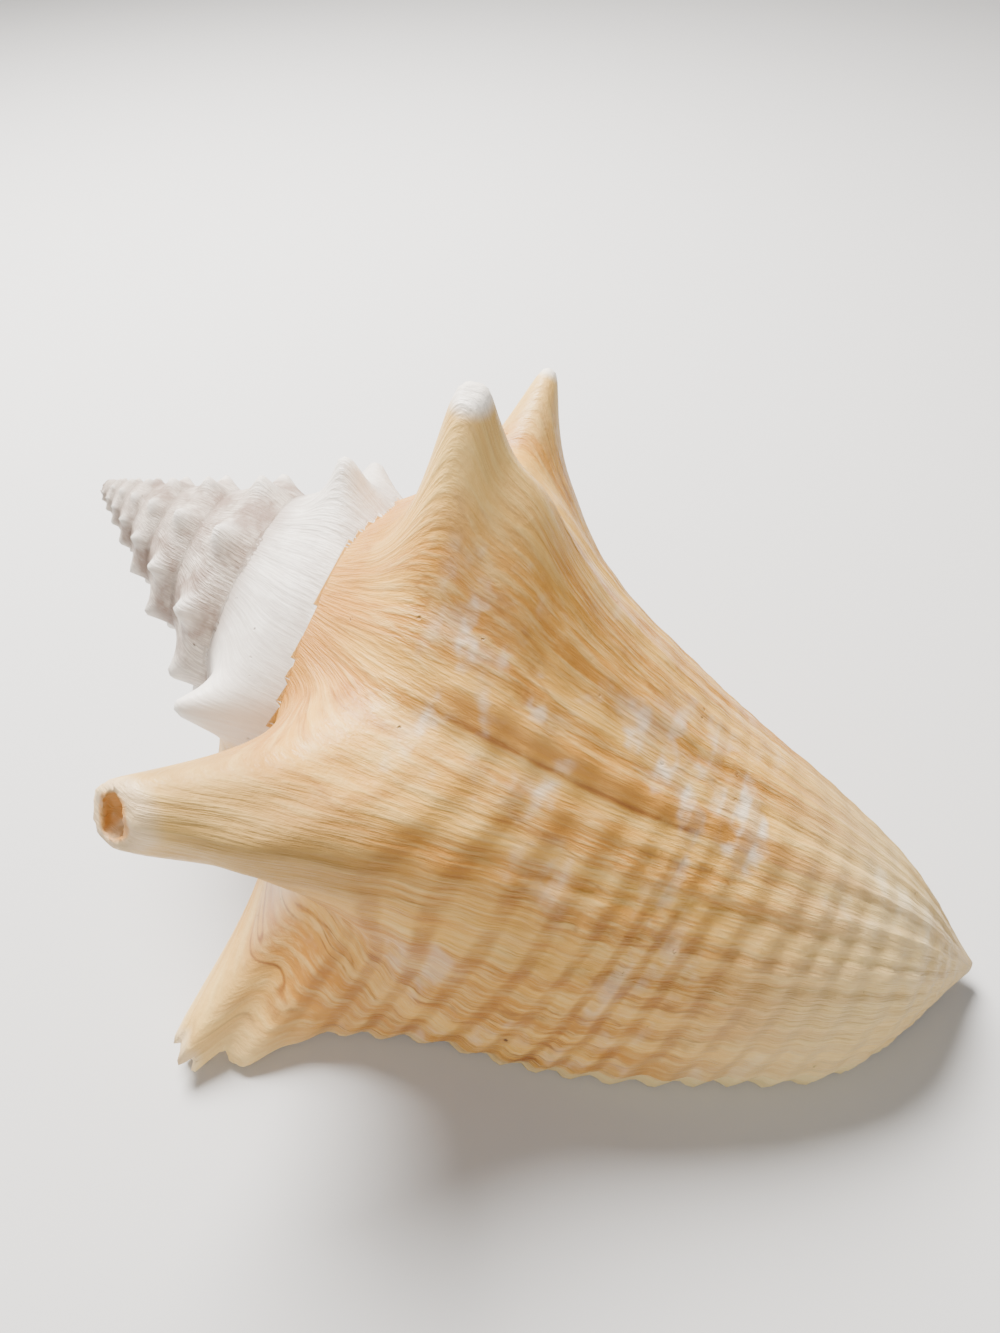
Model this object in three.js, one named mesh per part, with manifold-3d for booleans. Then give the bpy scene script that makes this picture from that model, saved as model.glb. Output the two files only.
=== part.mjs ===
// Queen conch shell, lying aperture down on the edge of its outer lip.
// Millimetres, +Z up, resting surface at z = 0. The shell axis runs along X: spire at -X, canal at +X.
// The whorls are one outline that grows by a fixed ratio per turn about the tilted axis.
// "age" is degrees of growth counted back from the lip (lip = 0, one turn older = -360).
// "station" runs along a whorl outline from the suture (0) to the tip of the canal (1).
// An outline point is [radius from the axis, distance from the apex along the axis].
import * as THREE from 'three';
import { mergeVertices } from 'three/addons/utils/BufferGeometryUtils.js';
import Module from 'manifold-3d';

const wasm = await Module();
wasm.setup();

// Stance of the shell
const AXIS_TILT = THREE.MathUtils.degToRad(21.5);
const APEX_HEIGHT = 80;
const LIP_ANGLE = 213;

// Growth
const GROWTH_PER_TURN = 1.43;
const TURN = 360;
const TURNS = 8;

// Siphonal canal, bent away from the axis
const CANAL_START = 150;
const CANAL_LENGTH = 80;
const CANAL_BEND = 13;
const CANAL_BEND_ANGLE = THREE.MathUtils.degToRad(52);
const CANAL_BEND_POWER = 1.6;
const CANAL_TIP = 231;

// Aperture
const WALL = 4;
const CALLUS = 0.6;
const CAVITY_DEPTH = 250;
const CAVITY_OVERRUN = 14;

// Sampling of the surface
const BODY_STEP = 5;
const SPIRE_STEP = 6;
const TIP_STEP = 15;
const BODY_STATIONS = [
  0, 0.05, 0.09, 0.13, 0.17, 0.2, 0.23, 0.27, 0.32, 0.38, 0.45, 0.53, 0.61, 0.7, 0.79, 0.88, 0.95,
];
const SPIRE_STATIONS = [0, 0.06, 0.11, 0.145, 0.18, 0.215, 0.26, 0.33, 0.5, 0.75];
const TIP_STATIONS = [0, 0.12, 0.22, 0.33, 0.6];
const CAVITY_OUTER = [0.09, 0.14, 0.2, 0.27, 0.36, 0.47, 0.6, 0.74, 0.86, 0.94];
const CAVITY_INNER = [0.93, 0.8, 0.65, 0.5, 0.38, 0.3];
const HUB_STATION = 0.38;

// Last whorl: the outline at several ages
const OUTLINE_STATIONS = [0, 0.09, 0.18, 0.27, 0.38, 0.5, 0.63, 0.76, 0.88, 1];
const OUTLINE_AGES = [-360, -270, -205, -150, -100, -50, 0];
const OUTLINES = [
  [
    [26.2, 52.4], [31, 60], [37, 69], [39, 81], [36.5, 97],
    [30.5, 118], [22, 143], [14, 172], [9, 202], [2, 228],
  ],
  [
    [28.5, 57], [34, 65], [40, 75], [42, 88], [39.5, 106],
    [33.5, 127], [25, 152], [17, 178], [10.5, 204], [2, 229],
  ],
  [
    [30.5, 61], [36.5, 69], [43, 80], [45, 94], [42, 112],
    [36.5, 134], [29.5, 157], [22, 181], [14, 206], [2, 230],
  ],
  [
    [32, 64], [38, 73], [45, 85], [48, 99], [45, 117],
    [40.5, 138], [35, 160], [28, 183], [18, 207], [2, 231],
  ],
  [
    [34, 68], [41, 77], [48.5, 89], [52, 102], [51, 120],
    [48, 141], [42, 164], [33, 187], [20.5, 210], [2, 231],
  ],
  [
    [35.5, 71.5], [41, 80], [47.5, 91], [53, 104], [57.5, 122],
    [55, 142], [48, 166], [40, 189], [27, 212], [2, 231],
  ],
  [
    [37.5, 75], [43.5, 84], [48.5, 93], [57, 106], [64.5, 122],
    [63.5, 140], [55, 168], [45, 191], [32.5, 214], [2, 231],
  ],
];

// Slant of the lip along the outline, degrees about the axis
const LIP_SLANT = [[0], [1], [2], [1], [-1], [-4.5], [-10], [-14], [-17.5], [-16]];

// Shoulder spines of the last whorl. tip = [radius, angle about the axis, distance from the apex]
const SPINES = [
  { age: -3, station: 0.21, tip: [93, 208.3, 93.5], blunt: 4.5, width: 4.8, reach: 2.2 },
  { age: -57, station: 0.22, tip: [86, 155.5, 70], blunt: 5.5, width: 5.8, reach: 1.6 },
  { age: -118, station: 0.22, tip: [79.5, 88, 78.5], blunt: 2.2, width: 8, reach: 1.9 },
  { age: -154, station: 0.22, tip: [75.5, 54, 82], blunt: 0.9, width: 7, reach: 1.2 },
  { age: -205, station: 0.21, tip: [64, 8, 76], blunt: 1, width: 6.5, reach: 1 },
  { age: -268, station: 0.21, tip: [65.5, -58, 76], blunt: 2, width: 6, reach: 1 },
  { age: -318, station: 0.21, tip: [52, -103, 66], blunt: 1, width: 5, reach: 1 },
];

// A bump reaches REACH_LIMIT widths; its top is rounded over TOP_ROUNDING widths.
// Towards the canal it is stretched by its own reach, fully so beyond STRETCH_END mm.
const REACH_LIMIT = 5;
const FADE_WIDTHS = 2;
const TOP_ROUNDING = 0.25;
const STRETCH_START = 4;
const STRETCH_END = 16;
const KNOB_REACH = 1.2;
const KNOB_BLUNTNESS = 0.2;

// Knobs on the whorl above: rise = [outwards, towards the apex]
const UPPER_KNOBS = [
  { age: -370, station: 0.2, rise: [6, 5], width: 4.5 },
  { age: -408, station: 0.2, rise: [9, 11], width: 5 },
  { age: -498, station: 0.2, rise: [9.5, 6], width: 4.6 },
  { age: -535, station: 0.2, rise: [7, 4], width: 4.2 },
  { age: -580, station: 0.19, rise: [6, 4], width: 4.2 },
  { age: -620, station: 0.19, rise: [6, 4], width: 4.2 },
  { age: -660, station: 0.19, rise: [6, 4], width: 4.2 },
  { age: -700, station: 0.19, rise: [6, 4], width: 4.2 },
];

// Knobs of the older whorls: one size, shrinking with the whorl
const KNOB_START = -740;
const KNOB_SPACING = 40;
const KNOB_COUNT = 40;
const KNOB_RISE = [6.4, 4];
const KNOB_WIDTH = 4.5;
const KNOB_STATION = 0.18;

// Broken end of the second spine
const BREAK_RADIUS = 3.6;
const BREAK_INSET = 0.5;

const growthAt = (age) => GROWTH_PER_TURN ** (age / TURN);

function slopeAt(keys, rows, i, axis) {
  const last = keys.length - 1;
  const before = Math.max(i - 1, 0);
  const after = Math.min(i + 1, last);
  if (i === 0 || i === last) {
    return (rows[after][axis] - rows[before][axis]) / (keys[after] - keys[before]);
  }
  const left = keys[i] - keys[before];
  const right = keys[after] - keys[i];
  const riseLeft = rows[i][axis] - rows[before][axis];
  const riseRight = rows[after][axis] - rows[i][axis];
  return (left * left * riseRight + right * right * riseLeft) / (left * right * (left + right));
}

// Smooth curve through the rows at x
function smoothRow(keys, rows, x) {
  const last = keys.length - 2;
  let i = 0;
  while (i < last && x >= keys[i + 1]) {
    i += 1;
  }
  const h = keys[i + 1] - keys[i];
  const t = THREE.MathUtils.clamp((x - keys[i]) / h, 0, 1);
  const t2 = t * t;
  const t3 = t2 * t;
  return rows[i].map((start, axis) => {
    const end = rows[i + 1][axis];
    const leave = h * slopeAt(keys, rows, i, axis);
    const arrive = h * slopeAt(keys, rows, i + 1, axis);
    const ends = (2 * t3 - 3 * t2 + 1) * start + (3 * t2 - 2 * t3) * end;
    return ends + (t3 - 2 * t2 + t) * leave + (t3 - t2) * arrive;
  });
}

function outlineAt(age, station) {
  const held = THREE.MathUtils.clamp(age, -TURN, 0);
  const scale = growthAt(age - held);
  const rows = OUTLINES.map((outline) => smoothRow(OUTLINE_STATIONS, outline, station));
  return smoothRow(OUTLINE_AGES, rows, held).map((value) => value * scale);
}

function angleAt(age, station) {
  return LIP_ANGLE + age + smoothRow(OUTLINE_STATIONS, LIP_SLANT, station)[0];
}

// A point of the tilted, bent axis frame in X, Y, Z
function place([radius, angle, along]) {
  const turn = THREE.MathUtils.degToRad(angle);
  const run = Math.max((along - CANAL_START) / CANAL_LENGTH, 0);
  const bend = CANAL_BEND * run ** CANAL_BEND_POWER;
  const across = radius * Math.cos(turn) + bend * Math.cos(CANAL_BEND_ANGLE);
  const up = radius * Math.sin(turn) + bend * Math.sin(CANAL_BEND_ANGLE);
  const x = along * Math.cos(AXIS_TILT) + up * Math.sin(AXIS_TILT);
  const z = APEX_HEIGHT - along * Math.sin(AXIS_TILT) + up * Math.cos(AXIS_TILT);
  return new THREE.Vector3(x, across, z);
}

function spineShape(spine) {
  const [radius, along] = outlineAt(spine.age, spine.station);
  const lift = [spine.tip[0] - radius, spine.tip[2] - along];
  const twist = spine.tip[1] - angleAt(spine.age, spine.station);
  return { ...spine, radius, lift, twist };
}

function knobShape(knob) {
  const [radius] = outlineAt(knob.age, knob.station);
  const lift = [knob.rise[0], -knob.rise[1]];
  return { ...knob, radius, lift, twist: 0, blunt: KNOB_BLUNTNESS * knob.width, reach: KNOB_REACH };
}

function olderKnob(number) {
  const age = KNOB_START - KNOB_SPACING * number;
  const scale = growthAt(age + TURN);
  const rise = KNOB_RISE.map((value) => value * scale);
  return { age, station: KNOB_STATION, rise, width: KNOB_WIDTH * scale };
}

const OLDER_KNOBS = Array.from({ length: KNOB_COUNT }, (_, number) => olderKnob(number));
const BUMPS = [...SPINES.map(spineShape), ...[...UPPER_KNOBS, ...OLDER_KNOBS].map(knobShape)];

// How much of a bump's lift a surface point takes, 1 at its middle and 0 beyond its limit
function bumpShare(bump, age, station, point) {
  const sweep = THREE.MathUtils.degToRad(age - bump.age) * bump.radius;
  const limit = REACH_LIMIT * bump.width;
  if (Math.abs(sweep) > limit) {
    return 0;
  }
  const middle = outlineAt(age, bump.station);
  const side = Math.hypot(point[0] - middle[0], point[1] - middle[1]);
  const stretch = 1 + (bump.reach - 1) * THREE.MathUtils.smoothstep(side, STRETCH_START, STRETCH_END);
  const along = station > bump.station ? side / stretch : side;
  const distance = Math.hypot(sweep, along);
  const fade = THREE.MathUtils.smoothstep(limit - distance, 0, FADE_WIDTHS * bump.width);
  const past = Math.max(distance - bump.blunt, 0);
  const round = TOP_ROUNDING * bump.width;
  return fade * Math.exp((round - Math.hypot(past, round)) / bump.width);
}

function shellPoint(age, station) {
  const point = outlineAt(age, station);
  const polar = [point[0], angleAt(age, station), point[1]];
  for (const bump of BUMPS) {
    const share = bumpShare(bump, age, station, point);
    const rise = share * bump.lift[0];
    polar[0] += rise;
    polar[1] += share * bump.twist - ((age - bump.age) * rise) / (bump.radius + rise);
    polar[2] += share * bump.lift[1];
  }
  return place(polar);
}

function toSolid(points, faces) {
  const geometry = new THREE.BufferGeometry();
  const positions = points.flatMap((point) => point.toArray());
  geometry.setAttribute('position', new THREE.Float32BufferAttribute(positions, 3));
  geometry.setIndex(faces);
  return solidFrom(geometry);
}

function solidFrom(geometry) {
  geometry.deleteAttribute('normal');
  geometry.deleteAttribute('uv');
  const merged = mergeVertices(geometry, 1e-4);
  const mesh = new wasm.Mesh({
    numProp: 3,
    vertProperties: new Float32Array(merged.attributes.position.array),
    triVerts: new Uint32Array(merged.index.array),
  });
  return new wasm.Manifold(mesh);
}

// Solid swept through rings of equal length, closed by a fan at both ends
function sweep(rings, closed, poles) {
  const count = rings[0].length;
  const faces = [];
  const vertex = (ring, i) => ring * count + (i % count);
  const span = closed ? count : count - 1;
  for (let ring = 0; ring < rings.length - 1; ring += 1) {
    for (let i = 0; i < span; i += 1) {
      const [a, b] = [vertex(ring, i), vertex(ring, i + 1)];
      const [d, c] = [vertex(ring + 1, i), vertex(ring + 1, i + 1)];
      faces.push(a, d, b, b, d, c);
    }
  }
  if (poles) {
    addPoleFaces(faces, rings.length, count, vertex);
    return toSolid([...rings.flat(), ...poles], faces);
  }
  const last = rings.length - 1;
  const middles = [rings[0], rings[last]].map((ring) => middleOf(ring));
  const hub = rings.length * count;
  for (let i = 0; i < count; i += 1) {
    faces.push(vertex(0, i), vertex(0, i + 1), hub);
    faces.push(vertex(last, i + 1), vertex(last, i), hub + 1);
  }
  return toSolid([...rings.flat(), ...middles], faces);
}

function middleOf(ring) {
  const sum = ring.reduce((total, point) => total.add(point), new THREE.Vector3());
  return sum.divideScalar(ring.length);
}

// Whorl sectors run from the axis: poles are the head, the foot and a hub between them
function addPoleFaces(faces, ringCount, count, vertex) {
  const head = ringCount * count;
  const foot = head + 1;
  const hub = head + 2;
  for (let ring = 0; ring < ringCount - 1; ring += 1) {
    faces.push(head, vertex(ring + 1, 0), vertex(ring, 0));
    faces.push(foot, vertex(ring, count - 1), vertex(ring + 1, count - 1));
  }
  for (const [ring, flip] of [[0, false], [ringCount - 1, true]]) {
    const edge = [head, ...Array.from({ length: count }, (_, i) => vertex(ring, i)), foot];
    for (let i = 0; i < edge.length - 1; i += 1) {
      faces.push(...(flip ? [edge[i + 1], edge[i], hub] : [edge[i], edge[i + 1], hub]));
    }
  }
}

function agesBetween(from, to, step) {
  const count = Math.round((to - from) / step);
  return Array.from({ length: count + 1 }, (_, i) => from + ((to - from) * i) / count);
}

function whorlSector(from, to, step, stations) {
  const ages = agesBetween(from, to, step);
  const rings = ages.map((age) => stations.map((station) => shellPoint(age, station)));
  const scale = growthAt(Math.min(to, 0) - (to > -TURN ? to : to + TURN));
  const head = place([0, 0, outlineAt(from, 0)[1]]);
  const foot = place([0, 0, CANAL_TIP * scale]);
  const hub = place([0, 0, outlineAt(from, HUB_STATION)[1]]);
  return sweep(rings, false, [head, foot, hub]);
}

// Three sectors make one turn; they overlap by one step
function whorl(turn, step, stations) {
  const third = TURN / 3;
  const end = -turn * TURN;
  const sectors = [0, 1, 2].map((i) => {
    const to = end - i * third;
    const overlap = i < 2 ? step : 0;
    return whorlSector(to - third - overlap, to, step, stations);
  });
  return sectors.reduce((total, sector) => total.add(sector));
}

function detailOf(turn) {
  if (turn === 0) {
    return [BODY_STEP, BODY_STATIONS];
  }
  return turn < 4 ? [SPIRE_STEP, SPIRE_STATIONS] : [TIP_STEP, TIP_STATIONS];
}

function cavityRing(age) {
  const wall = WALL * growthAt(age);
  const outer = CAVITY_OUTER.map((station) => {
    const [radius, along] = offsetOutline(age, station, -wall);
    return place([radius, angleAt(age, station), along]);
  });
  const inner = CAVITY_INNER.map((station) => {
    const [radius, along] = offsetOutline(age - TURN, station, CALLUS);
    return place([radius, angleAt(age, station), along]);
  });
  return [...outer, ...inner];
}

// Outline point moved square to the outline, outwards when positive
function offsetOutline(age, station, distance) {
  const delta = 0.01;
  const [radius, along] = outlineAt(age, station);
  const [radiusOn, alongOn] = outlineAt(age, station + delta);
  const [radiusBack, alongBack] = outlineAt(age, station - delta);
  const run = [radiusOn - radiusBack, alongOn - alongBack];
  const length = Math.hypot(...run);
  return [radius + (distance * run[1]) / length, along - (distance * run[0]) / length];
}

function cavity() {
  const middle = -CAVITY_DEPTH / 2;
  const halves = [[-CAVITY_DEPTH, middle], [middle - BODY_STEP, CAVITY_OVERRUN]];
  const solids = halves.map(([from, to]) => {
    const rings = agesBetween(from, to, BODY_STEP).map(cavityRing);
    return sweep(rings, true);
  });
  return solids.reduce((total, solid) => total.add(solid));
}

function ground() {
  const size = 600;
  const box = new THREE.BoxGeometry(size, size, size);
  box.translate(0, 0, -size / 2);
  return solidFrom(box);
}

function brokenEnd() {
  const [radius, angle, along] = SPINES[1].tip;
  const hollow = new THREE.SphereGeometry(BREAK_RADIUS, 10, 8);
  const centre = place([radius + BREAK_INSET, angle, along]);
  hollow.translate(centre.x, centre.y, centre.z);
  return solidFrom(hollow);
}

// The outside skin alone: pockets sealed between two turns are filled
function filled(solid) {
  return solid.decompose().reduce((best, piece) => (piece.volume() > best.volume() ? piece : best));
}

function toGeometry(solid) {
  const mesh = solid.getMesh();
  const geometry = new THREE.BufferGeometry();
  geometry.setAttribute('position', new THREE.BufferAttribute(mesh.vertProperties, 3));
  geometry.setIndex(new THREE.BufferAttribute(mesh.triVerts, 1));
  geometry.computeBoundingBox();
  const centre = geometry.boundingBox.getCenter(new THREE.Vector3());
  geometry.translate(-centre.x, -centre.y, -geometry.boundingBox.min.z);
  geometry.computeVertexNormals();
  return geometry;
}

const turns = Array.from({ length: TURNS }, (_, turn) => whorl(turn, ...detailOf(turn)));
const body = turns.reduce((total, turn) => total.add(turn));
const shell = filled(body.subtract(cavity()).subtract(brokenEnd()).subtract(ground()));

const shellMaterial = new THREE.MeshStandardMaterial({ color: 0xdcb98a, roughness: 0.45, metalness: 0 });
const shellMesh = new THREE.Mesh(toGeometry(shell), shellMaterial);
shellMesh.name = 'shell';

const group = new THREE.Group();
group.name = 'queen_conch_shell';
group.add(shellMesh);

export default group;
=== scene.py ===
"""A queen conch shell on a pale studio floor, built as an add-on that runs as a script.

The whorls are one outline that grows by a fixed ratio per turn about a tilted axis.
"age" is degrees of growth counted back from the lip: lip 0, one turn older -360.
"station" runs along a whorl outline from the suture (0) to the tip of the canal (1).
Shell dimensions are in millimetres until place(), which returns metres.
"""

import math
from collections import namedtuple

import bmesh
import bpy
import numpy as np
from bpy.props import FloatProperty, FloatVectorProperty, IntProperty, PointerProperty
from mathutils import Matrix, Vector
from mathutils.kdtree import KDTree


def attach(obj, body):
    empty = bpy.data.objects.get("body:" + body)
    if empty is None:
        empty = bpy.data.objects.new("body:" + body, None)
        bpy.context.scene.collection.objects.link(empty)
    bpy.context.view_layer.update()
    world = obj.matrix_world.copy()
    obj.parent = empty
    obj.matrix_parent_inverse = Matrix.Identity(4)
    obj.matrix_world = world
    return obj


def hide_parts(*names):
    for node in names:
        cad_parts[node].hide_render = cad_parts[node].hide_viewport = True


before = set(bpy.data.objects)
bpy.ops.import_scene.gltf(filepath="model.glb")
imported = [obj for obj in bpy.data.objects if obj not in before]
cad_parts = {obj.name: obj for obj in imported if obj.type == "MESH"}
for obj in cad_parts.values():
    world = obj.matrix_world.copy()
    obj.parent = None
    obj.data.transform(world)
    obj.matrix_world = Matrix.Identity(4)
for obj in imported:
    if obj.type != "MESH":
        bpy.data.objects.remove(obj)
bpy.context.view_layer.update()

bl_info = {
    "name": "Queen conch shell",
    "version": (1, 0, 0),
    "blender": (4, 5, 0),
    "location": "3D View > Sidebar > Shell",
    "description": "Builds a queen conch shell and the studio it lies in",
    "category": "Add Mesh",
}

TURN = 360.0

# A spine's tip is (radius, angle, distance from the apex). "blunt" is the half width of its end,
# "width" says how quickly its sides fall away and "reach" stretches it towards the canal.
Spine = namedtuple("Spine", "age station tip blunt width reach")
# A knob rises outwards by "out" and towards the apex by "back"
Knob = namedtuple("Knob", "age station out back width")
# A spine or knob on the surface: "radius" is that of its foot, "mark" the spine share at its tip
Bump = namedtuple("Bump", "age station radius out along twist blunt width reach mark")

# Outline of the last whorl at several ages: radius from the axis, distance from the apex
OUTLINE_STATIONS = [0, 0.09, 0.18, 0.27, 0.38, 0.5, 0.63, 0.76, 0.88, 1]
OUTLINES = {
    -360: [
        (26.2, 52.4), (31, 60), (37, 69), (39, 81), (36.5, 97),
        (30.5, 118), (22, 143), (14, 172), (9, 202), (2, 228),
    ],
    -270: [
        (28.5, 57), (34, 65), (40, 75), (42, 88), (39.5, 106),
        (33.5, 127), (25, 152), (17, 178), (10.5, 204), (2, 229),
    ],
    -205: [
        (30.5, 61), (36.5, 69), (43, 80), (45, 94), (42, 112),
        (36.5, 134), (29.5, 157), (22, 181), (14, 206), (2, 230),
    ],
    -150: [
        (32, 64), (38, 73), (45, 85), (48, 99), (45, 117),
        (40.5, 138), (35, 160), (28, 183), (18, 207), (2, 231),
    ],
    -100: [
        (34, 68), (41, 77), (48.5, 89), (52, 102), (51, 120),
        (48, 141), (42, 164), (33, 187), (20.5, 210), (2, 231),
    ],
    -50: [
        (35.5, 71.5), (41, 80), (47.5, 91), (53, 104), (57.5, 122),
        (55, 142), (48, 166), (40, 189), (27, 212), (2, 231),
    ],
    0: [
        (37.5, 75), (43.5, 84), (48.5, 93), (57, 106), (64.5, 122),
        (63.5, 140), (55, 168), (45, 191), (32.5, 214), (2, 231),
    ],
}
LIP_SLANT = [0, 1, 2, 1, -1, -4.5, -10, -14, -17.5, -16]

# Shoulder spines of the last whorl
SPINES = [
    Spine(-3, 0.21, (93, 208.3, 93.5), 4.5, 4.8, 2.2),
    Spine(-57, 0.22, (86, 155.5, 70), 5.5, 5.8, 1.6),
    Spine(-118, 0.22, (79.5, 88, 78.5), 2.2, 8, 1.9),
    Spine(-154, 0.22, (75.5, 54, 82), 0.9, 7, 1.2),
    Spine(-205, 0.21, (64, 8, 76), 1, 6.5, 1),
    Spine(-268, 0.21, (65.5, -58, 76), 2, 6, 1),
    Spine(-318, 0.21, (52, -103, 66), 1, 5, 1),
]
# Its end is worn, broken and hollow
BROKEN_SPINE = SPINES[1]
BROKEN_RADIUS = 0.0036

# Knobs of the whorl above
UPPER_KNOBS = [
    Knob(-370, 0.2, 6, 5, 4.5),
    Knob(-408, 0.2, 9, 11, 5),
    Knob(-498, 0.2, 9.5, 6, 4.6),
    Knob(-535, 0.2, 7, 4, 4.2),
    Knob(-580, 0.19, 6, 4, 4.2),
    Knob(-620, 0.19, 6, 4, 4.2),
    Knob(-660, 0.19, 6, 4, 4.2),
    Knob(-700, 0.19, 6, 4, 4.2),
]
UPPER_KNOB_MARK = 0.5
KNOB_BLUNTNESS = 0.2
KNOB_REACH = 1.2

# Knobs of the older whorls: evenly spaced, smaller with every turn
KNOB_START = -740
KNOB_SPACING = 40
KNOB_COUNT = 56
KNOB_STATION = 0.18
KNOB_OUT = 6.4
KNOB_BACK = 4
KNOB_WIDTH = 4.5
KNOB_MARK = 0.3

# Shape of every spine and knob: where it ends and fades (in widths), its rounding (in widths),
# and the distances from its middle over which the reach sets in
BUMP_EXTENT = 5
BUMP_FADE = 2
BUMP_ROUNDING = 0.25
REACH_SETS_IN = (4, 16)

# The canal bends away from the axis, beyond a distance from the apex
BEND_START = 150.0
BEND_LENGTH = 80.0
BEND_POWER = 1.6
BEND_ANGLE = math.radians(52)
SHELL_CENTRE = (111.06, -10.9)

# Sideways wander of the cords: height, rate per mm of arc, and phase or waves per turn
WOBBLE = 0.9
WOBBLE_RATE = 0.045
WOBBLE_WAVES = 3.1
DRIFT = 0.7
DRIFT_RATE = 0.17
DRIFT_PHASE = 1.0

# Growth wrinkles: height, count per turn, phase, shift per mm of arc
WRINKLES = [(0.6, 41, 0.0, 0.05), (0.5, 67, 1.7, -0.03), (0.8, 23, 0.6, 0.0), (0.4, 97, 2.0, 0.04)]
LIP_WAVE_AGES = 14.0

# Points of the line that measures the arc
ARC_SAMPLES = 401

# Places along the growth of the shell: stations, then ages
SHOULDER = 0.2
KEEL_WIDTH = 0.045
KEEL_HEIGHT = 1.6
REST_AGE = -88.0
SHADOW_AGE = -85.5
PATCHES_AGE = -92.0
HOLLOW_AGE = -27.0
TINTED_AGE = -382.0
BLEACHED_AGE = -430.0
SMOOTHEST_AGE = -425.0

# The lip's edge: ages over which it is rounded, depth of the rounding, ages of its finest rings
LIP_ROUND_AGES = 2.2
LIP_ROUND_DEPTH = 1.5
LIP_EDGE_START = -2.4
LIP_EDGE_AGES = (-2.2, -1.7, -1.2, -0.8, -0.45, -0.2, 0.0)
CHIP_DEPTH = 1.1
SQUARE_END = 0.985

# Inside: least radius of the surface, columella, layer over the whorl below, thinning, flare
LEAST_RADIUS = 1.2
CORE_RADIUS = 0.7
CORE_ENDS = (3, 229)
CALLUS = 0.5
WALL_THINNING = 0.55
FLARE = 1.2
FLARE_AGES = 1.6

# Ages between rings, one for each turn and the last for all older turns
AGE_STEPS = (1.5, 1.5, 3.0, 3.0, 6.0)
ATTRIBUTES = ("age", "station", "arc", "spine", "inside")


class ShellSettings(bpy.types.PropertyGroup):
    """Dimensions of the shell"""

    axis_tilt: FloatProperty(
        name="Axis tilt", description="Rise of the spire over the floor",
        default=math.radians(21.5), subtype="ANGLE")
    apex_height: FloatProperty(
        name="Apex height", description="Height of the apex over the floor, in mm", default=80.0)
    lip_angle: FloatProperty(
        name="Lip angle", description="Place of the lip about the axis, in degrees", default=213.0)
    growth: FloatProperty(
        name="Growth per turn", description="Ratio of one whorl to the next", default=1.43)
    turns: IntProperty(name="Turns", description="Number of whorls", default=9)
    canal_bend: FloatProperty(
        name="Canal bend", description="Sideways bend of the canal tip, in mm", default=13.0)
    wall: FloatProperty(name="Wall", description="Wall thickness at the lip, in mm", default=3.6)
    cavity_depth: FloatProperty(
        name="Cavity depth", description="How far the hollow runs back from the lip, in degrees",
        default=250.0)
    cord_spacing: FloatProperty(
        name="Cord spacing", description="Distance between spiral cords, in mm", default=7.6)
    cord_height: FloatProperty(
        name="Cord height", description="Height of the spiral cords, in mm", default=0.4)
    lip_wave: FloatProperty(
        name="Lip wave", description="Extra height of the cords at the lip, in mm", default=0.5)
    wrinkle: FloatProperty(
        name="Growth wrinkles", description="Height of the growth wrinkles, in mm", default=0.35)


class StudioSettings(bpy.types.PropertyGroup):
    """Floor, lights and camera"""

    floor_size: FloatProperty(
        name="Floor size", description="Side of the floor", default=6.0, unit="LENGTH")
    floor_colour: FloatVectorProperty(
        name="Floor colour", description="Colour of the floor",
        default=(0.62, 0.61, 0.6), subtype="COLOR")
    camera_place: FloatVectorProperty(
        name="Camera place", description="Where the camera stands",
        default=(0.0665, -0.124, 0.215), subtype="TRANSLATION")
    camera_pitch: FloatProperty(
        name="Camera pitch", description="How far the camera looks down",
        default=math.radians(45.226), subtype="ANGLE")
    camera_roll: FloatProperty(
        name="Camera roll", description="Roll of the camera",
        default=math.radians(-1.93), subtype="ANGLE")
    camera_turn: FloatProperty(
        name="Camera turn", description="Direction the camera faces, from +Y",
        default=math.radians(27.5), subtype="ANGLE")
    lens: FloatProperty(
        name="Lens", description="Focal length in mm on a 36 mm high sensor", default=27.0)
    key_power: FloatProperty(
        name="Key light", description="Power of the key light in watts", default=39.0)


def slopes(keys, rows):
    return np.gradient(rows, keys, axis=0)


def smooth_rows(keys, rows, x):
    """Smooth curve through rows at the places x, along the first axis."""
    keys = np.asarray(keys, float)
    rows = np.asarray(rows, float)
    x = np.clip(np.asarray(x, float), keys[0], keys[-1])
    i = np.clip(np.searchsorted(keys, x, side="right") - 1, 0, len(keys) - 2)
    shape = (-1,) + (1,) * (rows.ndim - 1)
    h = (keys[i + 1] - keys[i]).reshape(shape)
    t = ((x - keys[i]).reshape(shape)) / h
    m = slopes(keys, rows)
    return (
        (2 * t**3 - 3 * t**2 + 1) * rows[i]
        + (t**3 - 2 * t**2 + t) * h * m[i]
        + (3 * t**2 - 2 * t**3) * rows[i + 1]
        + (t**3 - t**2) * h * m[i + 1]
    )


def smooth_step(low, high, x):
    t = np.clip((x - low) / (high - low), 0, 1)
    return t * t * (3 - 2 * t)


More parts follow.
